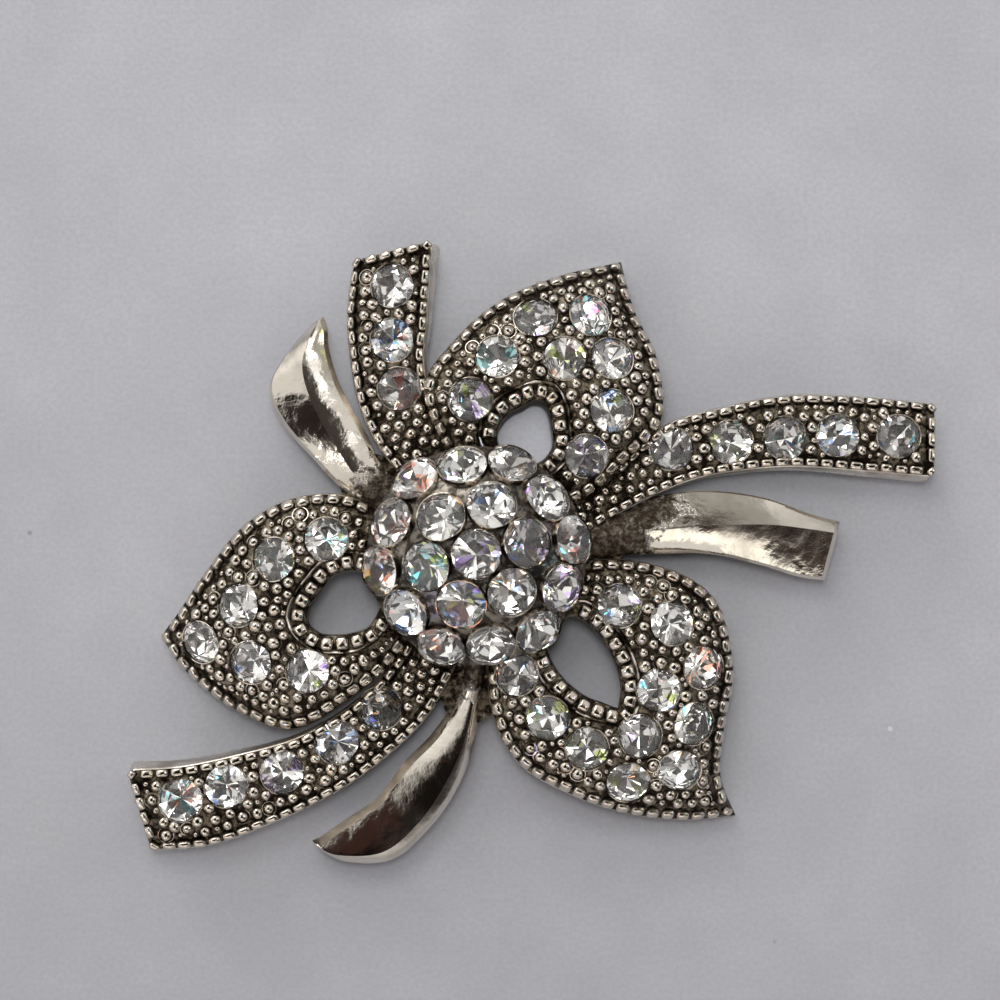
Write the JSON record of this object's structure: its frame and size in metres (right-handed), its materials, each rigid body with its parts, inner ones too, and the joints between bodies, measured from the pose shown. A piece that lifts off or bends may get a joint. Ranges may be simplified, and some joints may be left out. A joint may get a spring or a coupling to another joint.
{
  "type": "bow brooch",
  "caption": "Cast metal bow brooch with pierced stone-set petals, stone-set and plain ribbon tails, and a domed cluster of clear stones in the middle.",
  "frame": {"origin": "on the surface the brooch lies on, under the middle of its outline", "axes": "+X along the brooch's longest side, to the right seen from the front; +Y to its top edge; +Z out of its face"},
  "size_m": [0.056, 0.0432, 0.0118],
  "materials": {
    "antiqued_silver": "antiqued silver plate, bright on the beads and dark in the recesses",
    "dark_silver": "dark antiqued silver plate",
    "plain_steel": "plain satin plate",
    "clear_crystal": "clear cut glass with a foiled back"
  },
  "bodies": {
    "root": {"casting": "antiqued_silver", "stone_dome": "dark_silver", "cluster_stone_centre": "clear_crystal", "cluster_inner_1": "clear_crystal", "cluster_inner_2": "clear_crystal", "cluster_inner_3": "clear_crystal", "cluster_inner_4": "clear_crystal", "cluster_inner_5": "clear_crystal", "cluster_inner_6": "clear_crystal", "cluster_outer_1": "clear_crystal", "cluster_outer_2": "clear_crystal", "cluster_outer_3": "clear_crystal", "cluster_outer_4": "clear_crystal", "cluster_outer_5": "clear_crystal", "cluster_outer_6": "clear_crystal", "cluster_outer_7": "clear_crystal", "cluster_outer_8": "clear_crystal", "cluster_outer_9": "clear_crystal", "cluster_outer_10": "clear_crystal", "cluster_outer_11": "clear_crystal", "cluster_outer_12": "clear_crystal", "petal_top_stones": "clear_crystal", "petal_left_stones": "clear_crystal", "petal_right_stones": "clear_crystal", "ribbon_top_stones": "clear_crystal", "ribbon_right_stones": "clear_crystal", "ribbon_left_stones": "clear_crystal", "pin_back": "plain_steel"}
  },
  "joints": []
}
